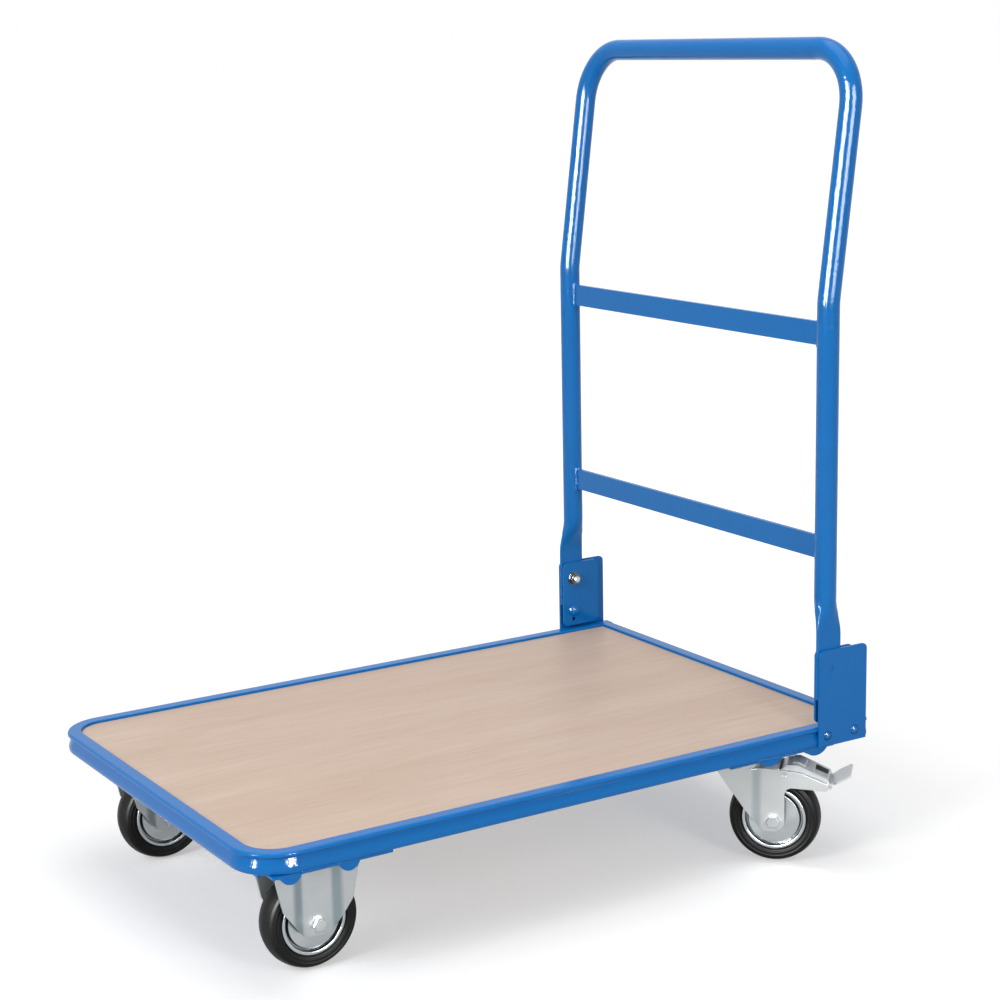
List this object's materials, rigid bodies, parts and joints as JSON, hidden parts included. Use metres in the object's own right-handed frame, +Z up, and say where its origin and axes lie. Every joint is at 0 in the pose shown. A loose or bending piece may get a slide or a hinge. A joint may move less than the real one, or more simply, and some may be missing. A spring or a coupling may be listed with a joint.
{
  "type": "folding platform trolley",
  "caption": "Folding platform trolley: wood-faced deck in a blue steel frame, fold-down tube handle with lock pins, rigid front casters and braked swivel casters at the rear.",
  "frame": {"origin": "on the floor, under the centre of the platform", "axes": "+X to the rear end with the handle, +Y across to the far side, +Z up"},
  "size_m": [0.745, 0.582, 0.8807],
  "materials": {
    "frame_paint": "gloss",
    "handle_paint": "gloss",
    "board": "satin",
    "zinc": "satin",
    "tyre": "matte",
    "shoe_rubber": "matte"
  },
  "bodies": {
    "platform": {"board_screws": "zinc", "caster_bolts": "zinc", "caster_nuts": "zinc", "deck_board": "board", "deck_frame": "frame_paint", "front_axle_bolts": "zinc", "front_axle_nuts": "zinc", "front_axle_sleeves": "zinc", "front_bearer": "frame_paint", "front_fork_far": "zinc", "front_fork_near": "zinc", "inner_plate_far": "frame_paint", "inner_plate_near": "frame_paint", "king_pins": "zinc", "lock_pins": "frame_paint", "outer_plate_far": "frame_paint", "outer_plate_near": "frame_paint", "pivot_nuts": "zinc", "pivot_studs": "zinc", "plate_rivets": "frame_paint", "rail_end_caps": "frame_paint", "rear_bearer": "frame_paint", "rear_rail": "frame_paint", "rear_top_plate_far": "zinc", "rear_top_plate_near": "zinc"},
    "handle_pivot": {"pivot_bushes": "zinc"},
    "handle": {"handle_tube": "handle_paint", "lower_crossbar": "handle_paint", "upper_crossbar": "handle_paint"},
    "front_wheel_near": {"front_tyre_near": "tyre", "front_rim_near": "zinc", "front_hub_near": "zinc"},
    "rear_swivel_near": {"rear_fork_near": "zinc", "race_ring_near": "zinc", "dust_cover_near": "zinc", "rear_axle_bolt_near": "zinc", "rear_axle_nut_near": "zinc", "rear_axle_sleeve_near": "zinc", "pedal_pin_near": "zinc"},
    "rear_wheel_near": {"rear_tyre_near": "tyre", "rear_rim_near": "zinc", "rear_hub_near": "zinc"},
    "brake_near": {"brake_pedal_near": "zinc", "brake_shoe_near": "shoe_rubber"},
    "front_wheel_far": {"front_tyre_far": "tyre", "front_rim_far": "zinc", "front_hub_far": "zinc"},
    "rear_swivel_far": {"rear_fork_far": "zinc", "race_ring_far": "zinc", "dust_cover_far": "zinc", "rear_axle_bolt_far": "zinc", "rear_axle_nut_far": "zinc", "rear_axle_sleeve_far": "zinc", "pedal_pin_far": "zinc"},
    "rear_wheel_far": {"rear_tyre_far": "tyre", "rear_rim_far": "zinc", "rear_hub_far": "zinc"},
    "brake_far": {"brake_pedal_far": "zinc", "brake_shoe_far": "shoe_rubber"}
  },
  "joints": [
    {"name": "handle_fold", "type": "hinge", "parent": "platform", "child": "handle_pivot", "pos_m": [0.3185, 0, 0.215], "axis": [0, -1, 0], "range_deg": [0, 97.5]},
    {"name": "handle_lift", "type": "slide", "parent": "handle_pivot", "child": "handle", "axis": [0, 0, 1], "range_m": [-0.014, 0]},
    {"name": "front_wheel_near_spin", "type": "hinge", "parent": "platform", "child": "front_wheel_near", "pos_m": [-0.2815, -0.178, 0.05], "axis": [0, 1, 0], "continuous": true},
    {"name": "rear_swivel_near_turn", "type": "hinge", "parent": "platform", "child": "rear_swivel_near", "pos_m": [0.245, -0.193, 0.11], "axis": [0, 0, 1], "continuous": true},
    {"name": "rear_wheel_near_spin", "type": "hinge", "parent": "rear_swivel_near", "child": "rear_wheel_near", "pos_m": [0.27046, -0.21846, 0.05], "axis": [0.7071, 0.7071, 0], "continuous": true},
    {"name": "brake_near_press", "type": "hinge", "parent": "rear_swivel_near", "child": "brake_near", "pos_m": [0.27859, -0.22659, 0.1035], "axis": [0.7071, 0.7071, 0], "range_deg": [0, 12]},
    {"name": "front_wheel_far_spin", "type": "hinge", "parent": "platform", "child": "front_wheel_far", "pos_m": [-0.2815, 0.178, 0.05], "axis": [0, 1, 0], "continuous": true},
    {"name": "rear_swivel_far_turn", "type": "hinge", "parent": "platform", "child": "rear_swivel_far", "pos_m": [0.245, 0.193, 0.11], "axis": [0, 0, 1], "continuous": true},
    {"name": "rear_wheel_far_spin", "type": "hinge", "parent": "rear_swivel_far", "child": "rear_wheel_far", "pos_m": [0.27046, 0.21846, 0.05], "axis": [-0.7071, 0.7071, 0], "continuous": true},
    {"name": "brake_far_press", "type": "hinge", "parent": "rear_swivel_far", "child": "brake_far", "pos_m": [0.27859, 0.22659, 0.1035], "axis": [-0.7071, 0.7071, 0], "range_deg": [0, 12]}
  ]
}
